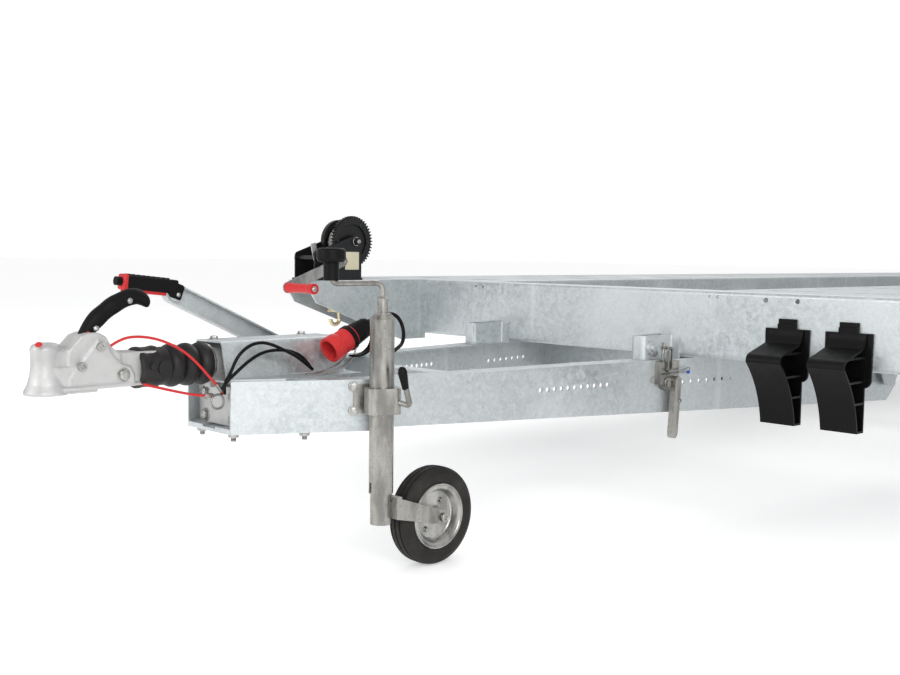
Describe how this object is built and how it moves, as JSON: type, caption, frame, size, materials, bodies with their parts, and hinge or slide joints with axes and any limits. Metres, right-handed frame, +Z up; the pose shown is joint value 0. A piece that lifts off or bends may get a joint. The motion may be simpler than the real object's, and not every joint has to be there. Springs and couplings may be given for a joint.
{
  "type": "tilt-bed car hauler trailer",
  "caption": "Galvanised car hauler trailer: tilting open-frame bed on tandem axles, A-frame drawbar with ball coupling, jockey wheel, hand winch and stowed loading ramps.",
  "frame": {"origin": "on the floor, under the middle of the trailer's overall length and width", "axes": "+X forwards to the hitch, +Y to the trailer's left, +Z up"},
  "size_m": [6.045, 1.88, 0.7325],
  "materials": {
    "galvanised_steel": "hot-dip galvanised, dull spangle",
    "zinc_plate": "bright zinc plate",
    "cast_metal": "rough grey casting",
    "black_plastic": "moulded black plastic",
    "grip_plastic": "soft black grip",
    "red_plastic": "red plastic",
    "black_steel": "black powder coat",
    "rubber": "black rubber",
    "tyre": "black tread rubber",
    "strap": "woven webbing",
    "lamp_red": "red lamp lens",
    "plate_white": "blank plate",
    "brass_hook": "yellow passivated steel"
  },
  "bodies": {
    "bed": {"front_beam": "galvanised_steel", "side_beam_left": "galvanised_steel", "side_beam_right": "galvanised_steel", "rear_beam": "galvanised_steel", "cross_members": "galvanised_steel", "runway_left": "galvanised_steel", "runway_right": "galvanised_steel", "axle_carriers": "galvanised_steel", "mudguards": "black_plastic", "bed_feet": "galvanised_steel", "winch_arm": "galvanised_steel", "winch_frame": "black_steel", "wheel_chocks": "black_plastic", "chock_holders": "black_plastic", "ramp_guides": "galvanised_steel", "rear_lamps": "lamp_red", "number_plate": "plate_white", "axle_front": "galvanised_steel", "axle_rear": "galvanised_steel", "axle_arms": "black_steel", "pivot_hangers": "galvanised_steel", "winch_hook": "brass_hook", "strap_tail": "strap"},
    "drawbar": {"drawbar_left": "galvanised_steel", "drawbar_right": "galvanised_steel", "drawbar_ties": "galvanised_steel", "overrun_cover": "galvanised_steel", "overrun_housing": "cast_metal", "bellows": "rubber", "coupling_head": "cast_metal", "coupling_handle": "grip_plastic", "jockey_clamp": "zinc_plate", "jockey_tube": "zinc_plate", "jockey_knob": "black_plastic", "latch": "zinc_plate"},
    "handbrake": {"handbrake_lever": "zinc_plate", "handbrake_grip": "grip_plastic"},
    "jockey_lift": {"jockey_nut": "zinc_plate"},
    "jockey_castor": {"jockey_fork": "zinc_plate"},
    "jockey_wheel": {"jockey_tyre": "tyre", "jockey_rim": "zinc_plate"},
    "winch_drum": {"winch_drum": "black_steel", "winch_strap": "strap"},
    "winch_crank": {"winch_crank": "zinc_plate", "winch_grip": "red_plastic"},
    "ramp_left": {"ramp_left": "galvanised_steel"},
    "ramp_right": {"ramp_right": "galvanised_steel"},
    "wheel_front_left": {"tyre_front_left": "tyre", "rim_front_left": "zinc_plate"},
    "wheel_front_right": {"tyre_front_right": "tyre", "rim_front_right": "zinc_plate"},
    "wheel_rear_left": {"tyre_rear_left": "tyre", "rim_rear_left": "zinc_plate"},
    "wheel_rear_right": {"tyre_rear_right": "tyre", "rim_rear_right": "zinc_plate"}
  },
  "joints": [
    {"name": "bed_tilt", "type": "hinge", "parent": "bed", "child": "drawbar", "pos_m": [0.6525, 0, 0.308], "axis": [0, 1, 0], "range_deg": [0, 14]},
    {"name": "handbrake_pull", "type": "hinge", "parent": "drawbar", "child": "handbrake", "pos_m": [2.4125, -0.084, 0.42], "axis": [0, -1, 0], "range_deg": [0, 60]},
    {"name": "jockey_height", "type": "slide", "parent": "drawbar", "child": "jockey_lift", "axis": [0, 0, -1], "range_m": [0, 0.2]},
    {"name": "jockey_swivel", "type": "hinge", "parent": "jockey_lift", "child": "jockey_castor", "pos_m": [2.4215, 0.23978, 0.164], "axis": [0, 0, 1], "continuous": true},
    {"name": "jockey_roll", "type": "hinge", "parent": "jockey_castor", "child": "jockey_wheel", "pos_m": [2.2845, 0.23978, 0.1], "axis": [0, 1, 0], "continuous": true},
    {"name": "winch_drum_turn", "type": "hinge", "parent": "bed", "child": "winch_drum", "pos_m": [1.7985, -0.635, 0.66], "axis": [0, 1, 0], "continuous": true},
    {"name": "winch_crank_turn", "type": "hinge", "parent": "bed", "child": "winch_crank", "pos_m": [1.8665, -0.635, 0.60493], "axis": [0, 1, 0], "continuous": true},
    {"name": "ramp_left_slide", "type": "slide", "parent": "bed", "child": "ramp_left", "axis": [-1, 0, 0], "range_m": [0, 1.2]},
    {"name": "ramp_right_slide", "type": "slide", "parent": "bed", "child": "ramp_right", "axis": [-1, 0, 0], "range_m": [0, 1.2]},
    {"name": "wheel_front_left_turn", "type": "hinge", "parent": "bed", "child": "wheel_front_left", "pos_m": [-0.6425, 0.7705, 0.234], "axis": [0, 1, 0], "continuous": true},
    {"name": "wheel_front_right_turn", "type": "hinge", "parent": "bed", "child": "wheel_front_right", "pos_m": [-0.6425, -0.7705, 0.234], "axis": [0, 1, 0], "continuous": true},
    {"name": "wheel_rear_left_turn", "type": "hinge", "parent": "bed", "child": "wheel_rear_left", "pos_m": [-1.2925, 0.7705, 0.234], "axis": [0, 1, 0], "continuous": true},
    {"name": "wheel_rear_right_turn", "type": "hinge", "parent": "bed", "child": "wheel_rear_right", "pos_m": [-1.2925, -0.7705, 0.234], "axis": [0, 1, 0], "continuous": true}
  ],
  "couplings": [
    {"joint": "winch_crank_turn", "follows": "winch_drum_turn", "ratio": -4}
  ]
}
